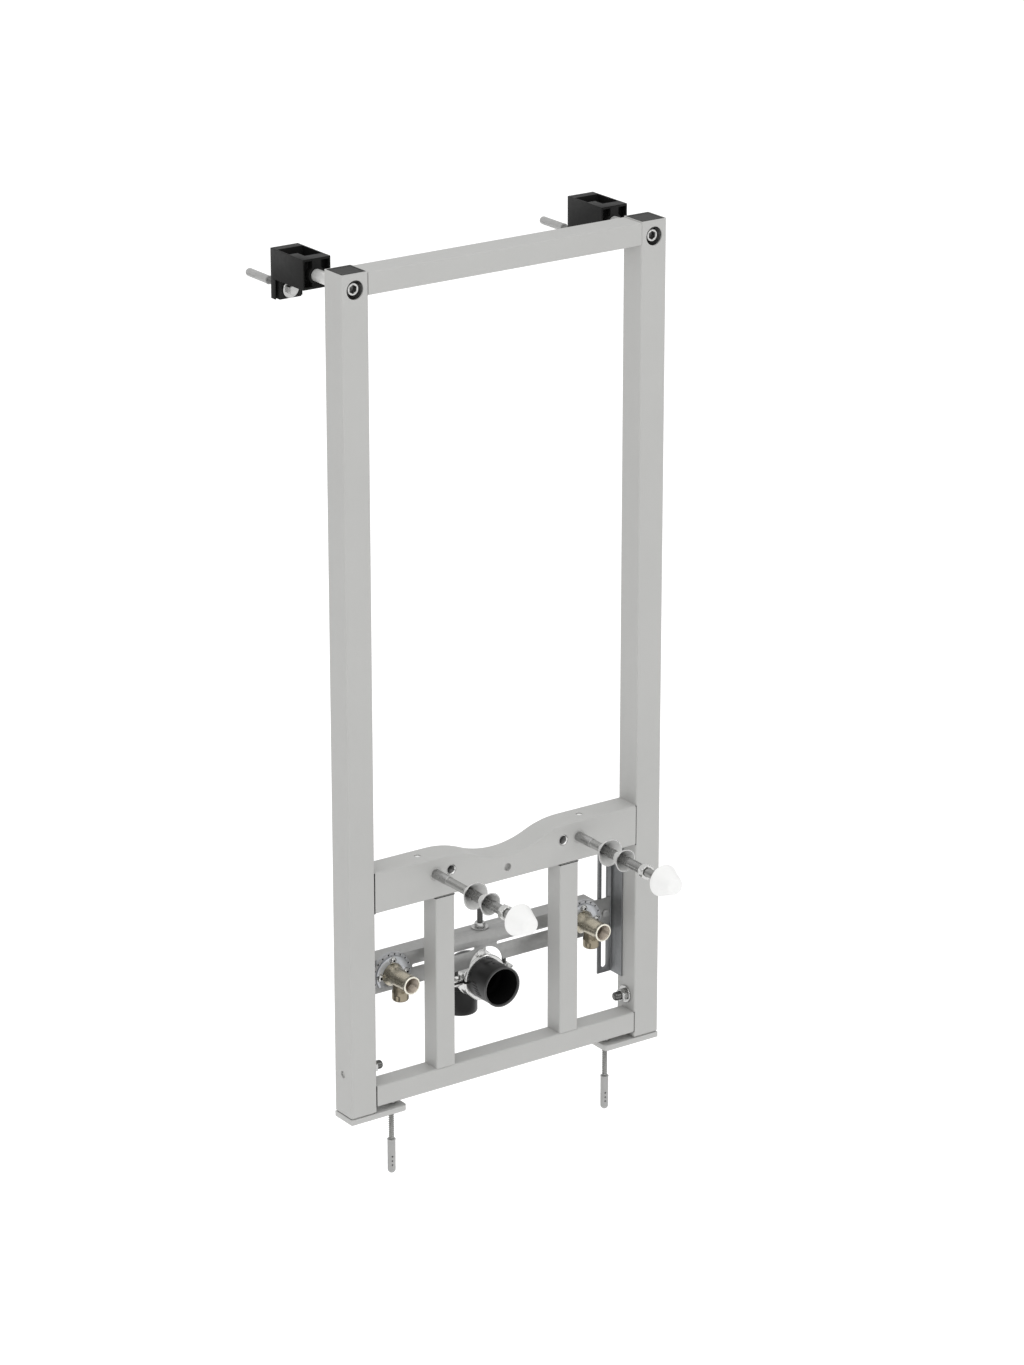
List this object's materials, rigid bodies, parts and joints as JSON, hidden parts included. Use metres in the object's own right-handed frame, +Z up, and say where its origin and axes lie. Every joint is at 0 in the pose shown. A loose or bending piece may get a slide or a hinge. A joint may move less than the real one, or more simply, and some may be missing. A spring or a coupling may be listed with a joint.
{
  "type": "bidet installation frame",
  "caption": "Floor and wall fixed steel frame for a wall hung bidet, with telescopic feet, bowl studs, water elbows, a drain elbow and wall brackets.",
  "frame": {"origin": "centre of the wall face of the left wall bracket", "axes": "+Y into the wall, +Z up, +X to the right seen from the front"},
  "size_m": [0.501, 0.4685, 1.2499],
  "materials": {
    "frame_paint": "satin powder coat, light grey",
    "zinc_sheet": "galvanised sheet, dull",
    "bright_steel": "zinc plated, bright",
    "nickel_brass": "plated brass, satin",
    "black_plastic": "moulded, fine grain",
    "cap_plastic": "moulded, dark grey",
    "drain_plastic": "moulded, slight gloss",
    "white_plastic": "white, half gloss",
    "plug_plastic": "grey nylon"
  },
  "bodies": {
    "frame": {"bottom_rail": "frame_paint", "clamp_rod": "bright_steel", "cross_beam": "frame_paint", "drain_elbow": "drain_plastic", "left_clamp_bolt": "bright_steel", "left_elbow_plate": "bright_steel", "left_fixing_bushes": "frame_paint", "left_inner_post": "frame_paint", "left_post": "frame_paint", "left_post_cap": "cap_plastic", "left_side_bracket": "zinc_sheet", "left_stud": "bright_steel", "left_stud_cap": "white_plastic", "left_stud_nut_and_washers": "bright_steel", "left_stud_sleeves": "plug_plastic", "left_wall_bracket": "black_plastic", "left_wall_plug": "plug_plastic", "left_wall_rod": "bright_steel", "left_wall_screw": "bright_steel", "left_water_elbow": "nickel_brass", "pipe_clamp": "bright_steel", "rear_rail": "zinc_sheet", "right_clamp_bolt": "bright_steel", "right_elbow_plate": "bright_steel", "right_fixing_bushes": "frame_paint", "right_inner_post": "frame_paint", "right_post": "frame_paint", "right_post_cap": "cap_plastic", "right_side_bracket": "zinc_sheet", "right_stud": "bright_steel", "right_stud_cap": "white_plastic", "right_stud_nut_and_washers": "bright_steel", "right_stud_sleeves": "plug_plastic", "right_wall_bracket": "black_plastic", "right_wall_plug": "plug_plastic", "right_wall_rod": "bright_steel", "right_wall_screw": "bright_steel", "right_water_elbow": "nickel_brass", "top_rail": "frame_paint"},
    "left_foot": {"left_foot_leg": "frame_paint", "left_floor_screw": "bright_steel", "left_floor_plug": "plug_plastic"},
    "right_foot": {"right_foot_leg": "frame_paint", "right_floor_screw": "bright_steel", "right_floor_plug": "plug_plastic"}
  },
  "joints": [
    {"name": "left_foot_slide", "type": "slide", "parent": "frame", "child": "left_foot", "axis": [0, 0, -1], "range_m": [0, 0.2]},
    {"name": "right_foot_slide", "type": "slide", "parent": "frame", "child": "right_foot", "axis": [0, 0, -1], "range_m": [0, 0.2]}
  ]
}
